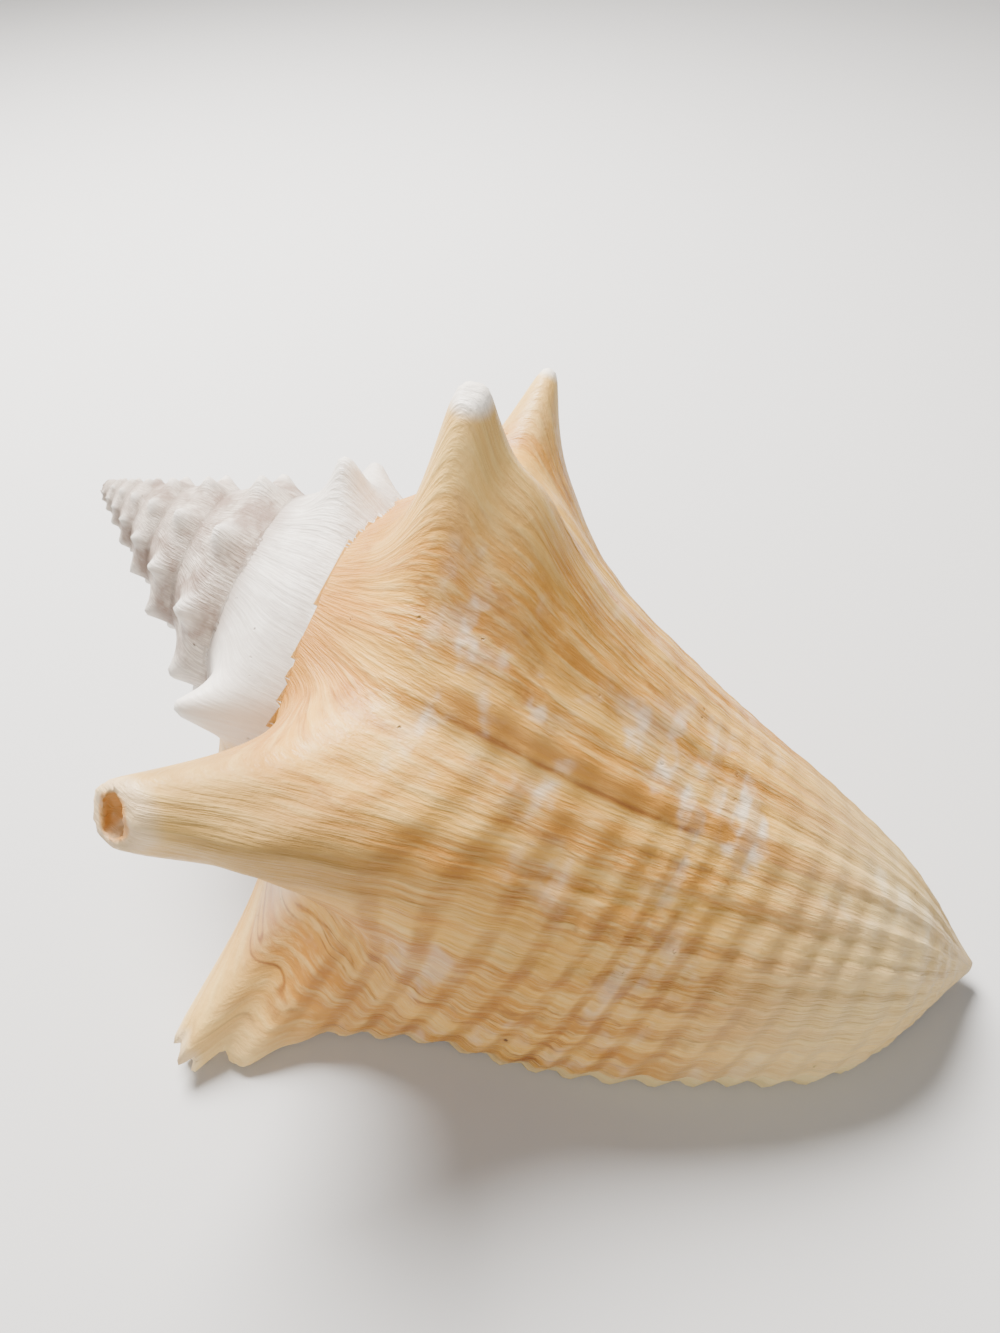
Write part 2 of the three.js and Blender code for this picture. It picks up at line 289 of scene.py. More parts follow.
class Growth:
    """The shell's surface as a function of age and station."""

    def __init__(self, settings):
        self.s = settings
        self.keys = sorted(OUTLINES)
        self.table = np.array([OUTLINES[key] for key in self.keys], float)
        self.bumps = self.all_bumps()

    def scale(self, age):
        return self.s.growth ** (np.asarray(age, float) / TURN)

    def outline(self, ages, stations):
        """Radius and distance from the apex, indexed [age, station]."""
        held = np.clip(ages, -TURN, 0)
        rows = smooth_rows(self.keys, self.table, held)
        rows = rows * self.scale(ages - held)[:, None, None]
        out = smooth_rows(OUTLINE_STATIONS, np.moveaxis(rows, 1, 0), stations)
        return np.moveaxis(out, 0, 1)

    def slant(self, stations):
        rows = np.array(LIP_SLANT, float)[:, None]
        return smooth_rows(OUTLINE_STATIONS, rows, stations)[:, 0]

    def all_bumps(self):
        """The spines and knobs, each with the push from its foot to its tip."""
        bumps = []
        for age, station, tip, blunt, width, reach in SPINES:
            radius, along = self.one(age, station)
            tip_radius, tip_angle, tip_along = tip
            foot_angle = self.s.lip_angle + age + float(self.slant(np.array([station]))[0])
            bumps.append(Bump(
                age, station, radius, tip_radius - radius, tip_along - along,
                tip_angle - foot_angle, blunt, width, reach, 1.0))
        for age, station, out, back, width in UPPER_KNOBS:
            radius, _ = self.one(age, station)
            bumps.append(Bump(
                age, station, radius, out, -back, 0.0,
                KNOB_BLUNTNESS * width, width, KNOB_REACH, UPPER_KNOB_MARK))
        for number in range(KNOB_COUNT):
            age = KNOB_START - KNOB_SPACING * number
            k = float(self.scale(age + TURN))
            radius, _ = self.one(age, KNOB_STATION)
            bumps.append(Bump(
                age, KNOB_STATION, radius, KNOB_OUT * k, -KNOB_BACK * k, 0.0,
                KNOB_BLUNTNESS * KNOB_WIDTH * k, KNOB_WIDTH * k, KNOB_REACH, KNOB_MARK))
        return bumps

    def one(self, age, station):
        return self.outline(np.array([float(age)]), np.array([float(station)]))[0, 0]

    def bump_share(self, bump, ages, stations, points):
        """How much of the bump's push each point gets: about 1 at its tip, 0 away from it."""
        sweep = np.radians(ages - bump.age) * bump.radius
        middle = self.outline(ages, np.array([bump.station]))[:, 0]
        side = np.hypot(points[..., 0] - middle[:, :1], points[..., 1] - middle[:, 1:])
        stretch = 1 + (bump.reach - 1) * smooth_step(*REACH_SETS_IN, side)
        side = np.where(stations[None, :] > bump.station, side / stretch, side)
        distance = np.hypot(sweep[:, None], side)
        fade = smooth_step(0, BUMP_FADE * bump.width, BUMP_EXTENT * bump.width - distance)
        past = np.maximum(distance - bump.blunt, 0)
        rounded = BUMP_ROUNDING * bump.width
        return fade * np.exp((rounded - np.hypot(past, rounded)) / bump.width)

    def polar(self, ages, stations):
        """Radius, angle, distance from apex and the spine share, indexed [age, station]."""
        points = self.outline(ages, stations)
        radius = points[..., 0].copy()
        along = points[..., 1].copy()
        angle = self.s.lip_angle + ages[:, None] + self.slant(stations)[None, :]
        spine = np.zeros_like(radius)
        for bump in self.bumps:
            nearest = np.min(np.abs(np.radians(ages - bump.age) * bump.radius))
            if nearest > BUMP_EXTENT * bump.width:
                continue
            share = self.bump_share(bump, ages, stations, points)
            drawn_in = share * bump.out / (bump.radius + share * bump.out)
            angle = angle + share * bump.twist - drawn_in * (ages - bump.age)[:, None]
            radius += share * bump.out
            along += share * bump.along
            spine = np.maximum(spine, share * bump.mark)
        return radius, angle, along, spine

    def arc(self, stations):
        """Length along the newest outline from its shoulder, in mm."""
        fine = np.linspace(0, 1, ARC_SAMPLES)
        line = self.outline(np.array([0.0]), fine)[0]
        steps = np.hypot(*np.diff(line, axis=0).T)
        length = np.concatenate([[0], np.cumsum(steps)])
        return np.interp(stations, fine, length) - np.interp(SHOULDER, fine, length)

    def place(self, radius, angle, along):
        """Points in metres, with the axis tilted and the shell's middle over the origin."""
        turn = np.radians(angle)
        run = np.maximum((along - BEND_START) / BEND_LENGTH, 0)
        bend = self.s.canal_bend * run**BEND_POWER
        across = radius * np.cos(turn) + bend * math.cos(BEND_ANGLE)
        up = radius * np.sin(turn) + bend * math.sin(BEND_ANGLE)
        tilt = self.s.axis_tilt
        x = along * math.cos(tilt) + up * math.sin(tilt) - SHELL_CENTRE[0]
        y = across - SHELL_CENTRE[1]
        z = self.s.apex_height - along * math.sin(tilt) + up * math.cos(tilt)
        return np.stack([x, y, z], axis=-1) / 1000.0

    def cords(self, age, arc, stations):
        """Spiral cords, faint on older growth and higher at the lip."""
        wobble = (
            WOBBLE * np.sin(np.radians(age) * WOBBLE_WAVES + arc * WOBBLE_RATE)
            + DRIFT * np.sin(arc * DRIFT_RATE + DRIFT_PHASE)
        )
        cord = np.cos((arc + wobble) * (2 * math.pi / self.s.cord_spacing))
        fade = smooth_step(8, 30, arc) * (1 - smooth_step(0.93, 0.99, stations)[None, :])
        young = 0.2 + 0.8 * smooth_step(-110, -55, age)
        near_lip = np.exp(np.minimum(age, 0) / LIP_WAVE_AGES)
        return fade * cord * (self.s.cord_height * young + self.s.lip_wave * near_lip)

    def wrinkles(self, age, arc, stations):
        """Growth wrinkles, weaker on the bleached whorl, and the mark left by a rest in growth."""
        turn = np.radians(age)
        ribs = sum(
            height * np.sin(turn * count + phase + shift * arc)
            for height, count, phase, shift in WRINKLES
        )
        seam = smooth_step(0.12, 0.2, stations)[None, :] * smooth_step(-330, -375, age)
        bleached = 0.75 * np.exp(-(((age - BLEACHED_AGE) / 45) ** 2))
        rest_line = np.exp(-(((age - REST_AGE + 2 * np.sin(arc * 0.06)) / 1.8) ** 2))
        lines = self.s.wrinkle * ribs * (1 - 0.7 * seam) * (1 - bleached)
        lines = lines + 0.7 * rest_line * smooth_step(4, 16, arc)
        ends = smooth_step(0.02, 0.1, stations) * (1 - smooth_step(0.9, 0.98, stations))
        return lines * ends[None, :]

    def relief(self, ages, stations):
        """Height of cords, wrinkles and keel over the plain surface, in mm."""
        arc = self.arc(stations)[None, :]
        age = ages[:, None]
        ridge = np.exp(-(((stations - SHOULDER) / KEEL_WIDTH) ** 2))[None, :]
        keel = ridge * smooth_step(-62, -40, age) * KEEL_HEIGHT
        height = self.cords(age, arc, stations) + self.wrinkles(age, arc, stations) + keel
        return height * self.scale(np.minimum(age + TURN, 0))


def linked_object(name, bm):
    """Turns bm into an object of the scene and frees it."""
    mesh = bpy.data.meshes.new(name)
    bm.to_mesh(mesh)
    bm.free()
    piece = bpy.data.objects.new(name, mesh)
    bpy.context.scene.collection.objects.link(piece)
    return piece


def sheet_object(name, rings):
    """A tube through the rings (an array [ring, point, xyz]), its ends closed."""
    ring_count, point_count, _ = rings.shape
    bm = bmesh.new()
    bmesh.ops.create_grid(bm, x_segments=ring_count - 1, y_segments=point_count, size=0.5)
    bm.verts.ensure_lookup_table()
    flat = np.array([v.co[:2] for v in bm.verts])
    ring = np.rint((flat[:, 0] + 0.5) * (ring_count - 1)).astype(int)
    point = np.rint((flat[:, 1] + 0.5) * point_count).astype(int) % point_count
    for vert, place in zip(bm.verts, rings[ring, point]):
        vert.co = place
    bmesh.ops.remove_doubles(bm, verts=bm.verts, dist=1e-8)
    bmesh.ops.holes_fill(bm, edges=bm.edges, sides=0)
    bmesh.ops.recalc_face_normals(bm, faces=bm.faces)
    if bm.calc_volume(signed=True) < 0:
        bmesh.ops.reverse_faces(bm, faces=bm.faces)
    return linked_object(name, bm)


def combine(base, others, operation):
    """Joins or cuts the others into base and deletes them."""
    for other in others:
        step = base.modifiers.new("step", "BOOLEAN")
        step.operation = operation
        step.solver = "MANIFOLD"
        step.object = other
        depsgraph = bpy.context.evaluated_depsgraph_get()
        mesh = bpy.data.meshes.new_from_object(base.evaluated_get(depsgraph))
        base.modifiers.remove(step)
        old = base.data
        base.data = mesh
        bpy.data.meshes.remove(old)
        bpy.data.objects.remove(other)


def lip_rounding(ages):
    """How far the outside is drawn in towards the lip's edge, in mm."""
    t = np.clip((ages + LIP_ROUND_AGES) / LIP_ROUND_AGES, 0, 1)
    return LIP_ROUND_DEPTH * (1 - np.sqrt(1 - t**2))


def square_offset(growth, ages, stations, distance):
    """Outline moved square to itself by distance (indexed [age])."""
    step = 0.004
    here = growth.outline(ages, stations)
    ahead = growth.outline(ages, np.minimum(stations + step, 1))
    back = growth.outline(ages, np.maximum(stations - step, 0))
    run = ahead - back
    length = np.hypot(run[..., 0], run[..., 1])
    out = np.stack([run[..., 1], -run[..., 0]], axis=-1) / length[..., None]
    return here + out * distance[..., None]


def ragged_end(ages, stations, spine):
    """Chipped end of the first spine, in mm."""
    chips = np.sin(stations[None, :] * 240 + 0.4)
    chips = chips + 0.8 * np.sin(stations[None, :] * 131 + ages[:, None] * 1.1)
    near_lip = smooth_step(-22, -14, ages)[:, None]
    return CHIP_DEPTH * chips * smooth_step(0.7, 0.98, spine) * near_lip


def body_rings(growth, ages, stations, samples):
    """Outside of one stretch of a whorl, closed along the columella."""
    radius, angle, along, spine = growth.polar(ages, stations)
    rounding = lip_rounding(ages)[:, None] * (stations[None, :] < SQUARE_END)
    radius = radius + ragged_end(ages, stations, spine)
    radius = radius + growth.relief(ages, stations) - rounding
    radius = np.maximum(radius, LEAST_RADIUS)
    outside = growth.place(radius, angle, along)
    keep_samples(samples, growth, outside, ages, stations, spine, 0.0)
    core_station = np.array([0.9, 0.6, 0.3])
    core_along = along[:, -1:] + (along[:, :1] - along[:, -1:]) * (1 - core_station[None, :])
    core_angle = np.broadcast_to(angle[:, -1:], core_along.shape)
    core = growth.place(np.full_like(core_along, CORE_RADIUS), core_angle, core_along)
    return np.concatenate([outside, core], axis=1)


def keep_samples(samples, growth, places, ages, stations, spine, inside):
    """Notes what each point of the surface should store in the attributes."""
    count = places.shape[0] * places.shape[1]
    grid_age, grid_station = np.meshgrid(ages, stations, indexing="ij")
    grid_arc = np.broadcast_to(growth.arc(stations)[None, :], grid_age.shape)
    values = [grid_age, grid_station, grid_arc, spine, np.full_like(grid_age, inside)]
    values = np.stack([value.reshape(count) for value in values], axis=-1)
    samples.append((places.reshape(count, 3), values))


def cavity_rings(growth, ages, samples):
    """The hollow: under the last whorl's wall and over the whorl one turn older."""
    outer_stations = np.concatenate([np.linspace(0.085, 0.3, 18), np.linspace(0.32, 0.965, 44)])
    inner_stations = np.linspace(0.95, 0.3, 40)
    thinning = 1 - WALL_THINNING * smooth_step(0.8, 0.965, outer_stations)
    wall = growth.s.wall * growth.scale(ages)[:, None] * thinning[None, :]
    flare = FLARE * np.exp(np.minimum(ages, 0) / FLARE_AGES)[:, None]
    wave = growth.relief(ages, outer_stations) * smooth_step(-40, -2, ages)[:, None]
    outer = square_offset(growth, ages, outer_stations, wave + flare - wall)
    outer_angle = growth.s.lip_angle + ages[:, None] + growth.slant(outer_stations)[None, :]
    outside = growth.place(outer[..., 0], outer_angle, outer[..., 1])
    callus = np.full((len(ages), len(inner_stations)), CALLUS)
    inner = square_offset(growth, ages - TURN, inner_stations, callus)
    inner_angle = growth.s.lip_angle + ages[:, None] + growth.slant(inner_stations)[None, :]
    inside = growth.place(inner[..., 0], inner_angle, inner[..., 1])
    for places, stations in ((outside, outer_stations), (inside, inner_stations)):
        no_spine = np.zeros(places.shape[:2])
        keep_samples(samples, growth, places, ages, stations, no_spine, 1.0)
    return np.concatenate([outside, inside], axis=1)


def turn_ages(end, step):
    """Ages of two overlapping halves of the turn that ends at the age end."""
    middle = end - TURN / 2
    newer = np.arange(middle - step, end - 0.5 * step, step)
    if end == 0:
        newer = np.concatenate([newer[newer < LIP_EDGE_START], np.array(LIP_EDGE_AGES)])
    else:
        newer = np.append(newer, end)
    older = np.append(np.arange(end - TURN, middle - 0.5 * step, step), middle)
    return newer, older


def stations_of(turn):
    """Stations of a whorl's rings, fewer on older turns."""
    if turn == 0:
        return np.concatenate([np.linspace(0, 0.34, 62), np.linspace(0.348, 1, 84)])
    fine = np.linspace(0, 0.36, max(40 - 7 * (turn - 1), 12))
    return np.concatenate([fine, np.array([0.5, 0.7, 0.9, 1.0])])


def add_attributes(piece, samples):
    """Gives every vertex the values of the nearest sample of the surface it came from."""
    places = np.concatenate([places for places, _ in samples])
    values = np.concatenate([values for _, values in samples])
    tree = KDTree(len(places))
    for index, place in enumerate(places):
        tree.insert(place, index)
    tree.balance()
    mesh = piece.data
    nearest = np.array([tree.find(vert.co)[1] for vert in mesh.vertices])
    for column, name in enumerate(ATTRIBUTES):
        layer = mesh.attributes.new(name, "FLOAT", "POINT")
        layer.data.foreach_set("value", values[nearest, column].astype(np.float32))


def core_rod(growth):
    """Solid middle of the columella, which fills the centre of every turn."""
    along = np.linspace(*CORE_ENDS, 60)
    turn = np.linspace(0, 2 * math.pi, 13)[:-1]
    radius = np.interp(along, [3, 20, 60, 200, 229], [0.4, 1.4, 3.0, 2.6, 1.5])
    across = np.ones((1, len(turn)))
    radius, along = radius[:, None] * across, along[:, None] * across
    rings = growth.place(radius, np.degrees(turn)[None, :], along)
    return sheet_object("core", rings)


def broken_middle(growth):
    """Middle of the hollow in the second spine's end."""
    radius, angle, along = BROKEN_SPINE.tip
    return Vector(growth.place(radius + 0.5, float(angle), float(along)))


def broken_end(growth):
    """A ragged hollow for the worn end of the second spine."""
    bm = bmesh.new()
    bmesh.ops.create_icosphere(bm, subdivisions=3, radius=BROKEN_RADIUS)
    rng = np.random.default_rng(7)
    for vert in bm.verts:
        vert.co = vert.co * float(1 + 0.1 * rng.standard_normal())
    bmesh.ops.scale(bm, verts=bm.verts, vec=(0.85, 1.0, 1.3))
    bmesh.ops.translate(bm, verts=bm.verts, vec=broken_middle(growth))
    return linked_object("broken_end", bm)


def build_shell(growth):
    """Whorls and columella joined into one solid, with the hollow and the broken end cut out."""
    samples = []
    sectors = []
    for turn in range(growth.s.turns):
        step = AGE_STEPS[min(turn, len(AGE_STEPS) - 1)]
        for ages in turn_ages(-TURN * turn, step):
            rings = body_rings(growth, ages, stations_of(turn), samples)
            sectors.append(sheet_object("sector", rings))
    shell = sectors[0]
    combine(shell, sectors[1:] + [core_rod(growth)], "UNION")
    ages = np.concatenate([
        np.arange(-growth.s.cavity_depth, -9, 2.0), np.arange(-8, 0, 0.5), np.arange(0, 15, 2.0)])
    half = len(ages) // 2
    halves = [ages[: half + 1], ages[half - 1:]]
    hollows = [sheet_object("hollow", cavity_rings(growth, part, samples)) for part in halves]
    combine(shell, hollows + [broken_end(growth)], "DIFFERENCE")
    settle(shell)
    add_attributes(shell, samples)
    return shell


def settle(shell):
    """Flattens what touches the floor, drops loose crumbs and smooths the shading."""
    bm = bmesh.new()
    bm.from_mesh(shell.data)
    drop_crumbs(bm)
    for vert in bm.verts:
        vert.co.z = max(vert.co.z, 0.0)
    bmesh.ops.dissolve_degenerate(bm, edges=bm.edges, dist=2e-6)
    bmesh.ops.triangulate(bm, faces=[face for face in bm.faces if len(face.verts) > 4])
    for face in bm.faces:
        face.smooth = True
    bm.to_mesh(shell.data)
    bm.free()


def drop_crumbs(bm):
    """Keeps only the largest connected skin."""
    unseen = set(bm.verts)
    islands = []
    while unseen:
        start = unseen.pop()
        island = [start]
        stack = [start]
        while stack:
            for edge in stack.pop().link_edges:
                for vert in edge.verts:
                    if vert in unseen:
                        unseen.remove(vert)
                        island.append(vert)
                        stack.append(vert)
        islands.append(island)
    islands.sort(key=len)
    for island in islands[:-1]:
        bmesh.ops.delete(bm, geom=island, context="VERTS")


class NodeKit:
    """Short calls for building one material."""

    def __init__(self, material):
        self.nodes = material.node_tree.nodes
        self.links = material.node_tree.links

    def add(self, kind, **values):
        node = self.nodes.new(kind)
        for name, value in values.items():
            setattr(node, name, value)
        return node

    def put(self, socket, value):
        if isinstance(value, bpy.types.NodeSocket):
            self.links.new(value, socket)
        else:
            socket.default_value = value

    def math(self, operation, a, b=0.0, c=0.0):
        node = self.add("ShaderNodeMath", operation=operation)
        for socket, value in zip(node.inputs, (a, b, c)):
            self.put(socket, value)
        return node.outputs[0]

    def times(self, product, *factors):
        for factor in factors:
            product = self.math("MULTIPLY", product, factor)
        return product

    def attribute(self, name):
        return self.add("ShaderNodeAttribute", attribute_name=name).outputs["Fac"]

    def ramp(self, value, low, high, out_low=0.0, out_high=1.0):
        node = self.add("ShaderNodeMapRange", interpolation_type="SMOOTHSTEP")
        names = ("Value", "From Min", "From Max", "To Min", "To Max")
        for name, item in zip(names, (value, low, high, out_low, out_high)):
            self.put(node.inputs[name], item)
        return node.outputs["Result"]

    def combine(self, x, y, z=0.0):
        node = self.add("ShaderNodeCombineXYZ")
        for socket, value in zip(node.inputs, (x, y, z)):
            self.put(socket, value)
        return node.outputs[0]

    def noise(self, vector, scale, detail=3.0, roughness=0.55, distortion=0.0):
        node = self.add("ShaderNodeTexNoise")
        self.put(node.inputs["Vector"], vector)
        node.inputs["Scale"].default_value = scale
        node.inputs["Detail"].default_value = detail
        node.inputs["Roughness"].default_value = roughness
        node.inputs["Distortion"].default_value = distortion
        return node.outputs["Fac"]

    def mix(self, factor, a, b):
        node = self.add("ShaderNodeMix", data_type="RGBA")
        self.put(node.inputs[0], factor)
        self.put(node.inputs[6], a)
        self.put(node.inputs[7], b)
        return node.outputs[2]


CREAM = (0.8, 0.43, 0.085, 1)
PALE = (0.92, 0.65, 0.23, 1)
TAN = (0.56, 0.235, 0.035, 1)
BROWN = (0.3, 0.1, 0.018, 1)
OLIVE = (0.42, 0.24, 0.07, 1)
BUTTER = (0.95, 0.73, 0.34, 1)
WORN = (0.95, 0.88, 0.79, 1)
PATCH = (0.95, 0.79, 0.6, 1)
PIT = (0.08, 0.035, 0.02, 1)
CHALK = (0.8, 0.69, 0.58, 1)
MAUVE = (0.33, 0.23, 0.18, 1)
PORCELAIN = (0.88, 0.75, 0.67, 1)
BLUSH = (0.85, 0.5, 0.4, 1)
# Roughness of the inside, mixed like a colour
GLOSSY = (0.22, 0.22, 0.22, 1)


def band(kit, value, middle, half):
    """1 at the middle of a band, 0 beyond its half width."""
    distance = kit.math("ABSOLUTE", kit.math("SUBTRACT", value, middle))
    return kit.ramp(distance, half, 0.0)


def banded_colour(kit, marks):
    """Cream and tan bands along the growth lines, thin brown lines and tan painted shade at the
    suture.
    """
    colour = kit.mix(kit.ramp(marks["bands"], 0.36, 0.64), CREAM, TAN)
    colour = kit.mix(kit.ramp(marks["fine"], 0.42, 0.68, 0.0, 0.45), colour, PALE)
    thin = kit.times(
        band(kit, marks["bands"], 0.52, 0.022),
        kit.ramp(marks["streaks"], 0.4, 0.6, 0.15, 0.6),
        kit.ramp(marks["age"], -50.0, -12.0, 0.8, 1.5))
    colour = kit.mix(thin, colour, BROWN)
    # painted shade: tan darkening in the crease of the suture, patchy with the cloud noise
    seam = kit.times(
        kit.ramp(marks["station"], 0.17, 0.07), kit.ramp(marks["cloud"], 0.35, 0.6, 0.3, 0.8))
    return kit.mix(seam, colour, TAN)


def cord_crest(kit, marks, spacing):
    """1 on the crests of the cords and -1 between them."""
    arc = marks["arc"]
    wave = kit.math("SINE", kit.math("MULTIPLY_ADD", arc, DRIFT_RATE, DRIFT_PHASE))
    drift = kit.math("ADD", kit.times(wave, DRIFT), kit.times(marks["cloud"], 3.0))
    return kit.math("COSINE", kit.times(kit.math("ADD", arc, drift), 2 * math.pi / spacing))


def corded_colour(kit, marks, colour, crest):
    """Purple-brown painted shade between the cords, brown streaks, the rest mark and its painted
    shadow.
    """
    age, arc, streaks = marks["age"], marks["arc"], marks["streaks"]
    # painted shade: brown in the valleys between the cords, strongest near the lip
    valley_shade = kit.times(
        kit.ramp(crest, 0.1, -1.0), kit.ramp(arc, 8.0, 26.0),
        kit.ramp(age, -95.0, -45.0, 0.1, 1.0), kit.ramp(streaks, 0.3, 0.62, 0.15, 0.6))
    colour = kit.mix(valley_shade, colour, BROWN)
    colour = kit.mix(kit.ramp(streaks, 0.55, 0.74, 0.0, 0.4), colour, BROWN)
    rest_line = kit.times(band(kit, age, REST_AGE, 4.0), kit.ramp(arc, 4.0, 18.0, 0.0, 0.85))
    colour = kit.mix(rest_line, colour, TAN)
    # painted shadow: a thin brown line just beside the ridge of the rest mark
    shadow_line = kit.times(
        band(kit, age, SHADOW_AGE, 1.4), kit.ramp(streaks, 0.35, 0.6, 0.2, 0.8),
        kit.ramp(arc, 4.0, 18.0))
    return kit.mix(shadow_line, colour, BROWN)


def patched_colour(kit, marks, place, colour, crest):
    """Worn white patches, most of them beside the rest mark."""
    patch = kit.times(
        kit.ramp(marks["cloud"], 0.5, 0.6),
        kit.ramp(crest, -0.6, 0.6, 0.3, 1.0),
        kit.ramp(kit.noise(place, 95.0), 0.4, 0.56),
        kit.math("MAXIMUM", band(kit, marks["age"], PATCHES_AGE, 34.0), 0.3),
        kit.ramp(marks["arc"], 2.0, 12.0), 0.85)
    return kit.mix(patch, colour, PATCH)


def spine_colour(kit, marks, colour):
    """Pale spines with worn tips, and a duller broken one."""
    age, spine = marks["age"], marks["spine"]
    colour = kit.mix(kit.ramp(spine, 0.3, 0.8, 0.0, 0.5), colour, PALE)
    dull = kit.times(
        kit.ramp(spine, 0.12, 0.4), band(kit, age, float(BROKEN_SPINE.age), 18.0),
        kit.ramp(spine, 0.98, 0.8, 0.25, 1.0), kit.ramp(marks["cloud"], 0.35, 0.6, 0.6, 1.0))
    colour = kit.mix(dull, colour, OLIVE)
    tips = kit.times(kit.ramp(spine, 0.9, 0.985), kit.ramp(age, -70.0, -85.0, 0.25, 0.95))
    return kit.mix(tips, colour, WORN)


def lip_colour(kit, marks, colour):
    """Buttery towards the canal and the lip's edge, white between the first two spines."""
    age, arc = marks["age"], marks["arc"]
    colour = kit.mix(kit.ramp(arc, 74.0, 122.0, 0.0, 0.6), colour, BUTTER)
    edge_age = kit.math("ADD", age, kit.ramp(arc, 60.0, 120.0, 0.0, 7.0))
    rim = kit.times(kit.ramp(edge_age, -10.0, -3.0), kit.ramp(arc, 20.0, 110.0, 0.4, 0.95))
    colour = kit.mix(rim, colour, BUTTER)
    hollow = kit.times(
        band(kit, age, HOLLOW_AGE, 18.0), band(kit, marks["station"], 0.15, 0.09), 0.9)
    return kit.mix(hollow, colour, WORN)


def outer_colour(kit, marks, place, cord_spacing):
    """Outside of the last whorl."""
    crest = cord_crest(kit, marks, cord_spacing)
    colour = corded_colour(kit, marks, banded_colour(kit, marks), crest)
    colour = patched_colour(kit, marks, place, colour, crest)
    return lip_colour(kit, marks, spine_colour(kit, marks, colour))


def spire_colour(kit, marks, place):
    """Bleached whorls, greyer towards the apex, with mauve painted shade in the sutures."""
    age, station, spine = marks["age"], marks["station"], marks["spine"]
    colour = kit.mix(kit.ramp(age, -480.0, -640.0), WORN, CHALK)
    grey = kit.ramp(kit.noise(place, 85.0, 4.0, 0.65), 0.42, 0.64)
    grey = kit.times(grey, kit.ramp(age, -440.0, -600.0, 0.2, 1.0))
    colour = kit.mix(grey, colour, MAUVE)
    # painted shade: mauve darkening in the sutures between the whorls
    colour = kit.mix(kit.times(kit.ramp(station, 0.1, 0.0), 0.75), colour, MAUVE)
    lines = kit.times(kit.ramp(marks["fine"], 0.6, 0.42), kit.ramp(age, -440.0, -560.0, 0.15, 0.5))
    colour = kit.mix(lines, colour, MAUVE)
    colour = kit.mix(kit.times(kit.ramp(spine, 0.06, 0.26), 0.75), colour, WORN)
    tinted = kit.times(
        band(kit, age, TINTED_AGE, 30.0), kit.ramp(spine, 0.46, 0.34),
        kit.ramp(station, 0.1, 0.17), 1.6)
    return kit.mix(kit.math("MINIMUM", tinted, 0.9), colour, CREAM)


def growth_marks(kit, place):
    """The stored attributes, and noises that run along the growth or through the shell."""
    marks = {name: kit.attribute(name) for name in ATTRIBUTES}
    age, arc = marks["age"], marks["arc"]
    grown = kit.combine(kit.times(age, 0.1), kit.times(arc, 0.012))
    wide = kit.combine(kit.times(age, 0.06), kit.times(arc, 0.04))
    marks["fine"] = kit.noise(grown, 9.0, 4.0, 0.6, 0.12)
    marks["bands"] = kit.noise(grown, 1.4, 3.0, 0.55, 0.2)
    marks["streaks"] = kit.noise(wide, 2.4, 4.0, 0.6, 0.5)
    marks["cloud"] = kit.noise(place, 38.0, 4.0, 0.6)
    marks["grain"] = kit.noise(place, 420.0, 3.0, 0.6)
    return marks


def pit_dots(kit, marks, place):
    """A few small pits."""
    pits = kit.add("ShaderNodeTexVoronoi", feature="F1")
    kit.put(pits.inputs["Vector"], place)
    pits.inputs["Scale"].default_value = 210.0
    return kit.times(
        kit.ramp(pits.outputs["Distance"], 0.13, 0.06),
        kit.ramp(marks["grain"], 0.5, 0.6), kit.ramp(marks["cloud"], 0.5, 0.58))


def shell_colour(kit, marks, place, dots, growth):
    """Outside, spire, pink inside, pits and the broken end."""
    colour = outer_colour(kit, marks, place, growth.s.cord_spacing)
    spire = spire_colour(kit, marks, place)
    colour = kit.mix(kit.ramp(marks["age"], -350.0, -362.0), colour, spire)
    pearl = kit.mix(kit.ramp(marks["cloud"], 0.35, 0.7), PORCELAIN, BLUSH)
    colour = kit.mix(kit.ramp(marks["inside"], 0.3, 0.9), colour, pearl)
    colour = kit.mix(kit.times(dots, 0.8), colour, PIT)
    gap = kit.add("ShaderNodeVectorMath", operation="DISTANCE")
    kit.put(gap.inputs[0], place)
    gap.inputs[1].default_value = broken_middle(growth)
    near = kit.ramp(gap.outputs["Value"], BROKEN_RADIUS + 0.001, BROKEN_RADIUS, 0.0, 0.85)
    return kit.mix(near, colour, TAN)


def shell_bump(kit, marks, dots):
    """Fine relief of the outside, almost none on the bleached whorl."""
    height = kit.math("ADD", kit.times(marks["fine"], 0.9), kit.times(marks["grain"], 0.25))
    worn = band(kit, marks["age"], SMOOTHEST_AGE, 90.0)
    smooth = kit.math("SUBTRACT", 1.0, kit.times(worn, 0.8))
    height = kit.times(height, kit.ramp(marks["inside"], 0.9, 0.3), smooth)
    bump = kit.add("ShaderNodeBump")
    bump.inputs["Strength"].default_value = 0.55
    bump.inputs["Distance"].default_value = 0.0014
    kit.put(bump.inputs["Height"], kit.math("SUBTRACT", height, kit.times(dots, 0.5)))
    return bump.outputs[0]


def shell_material(growth):
    material = bpy.data.materials.new("shell")
    material.use_nodes = True
    kit = NodeKit(material)
    shader = kit.nodes["Principled BSDF"]
    place = kit.add("ShaderNodeTexCoord").outputs["Object"]
    marks = growth_marks(kit, place)
    dots = pit_dots(kit, marks, place)
    kit.put(shader.inputs["Base Color"], shell_colour(kit, marks, place, dots, growth))
    rough = kit.ramp(marks["grain"], 0.3, 0.7, 0.36, 0.52)
    rough = kit.mix(kit.ramp(marks["inside"], 0.3, 0.9), rough, GLOSSY)
    kit.put(shader.inputs["Roughness"], rough)
    shader.inputs["Specular IOR Level"].default_value = 0.32
    kit.put(shader.inputs["Normal"], shell_bump(kit, marks, dots))
    return material


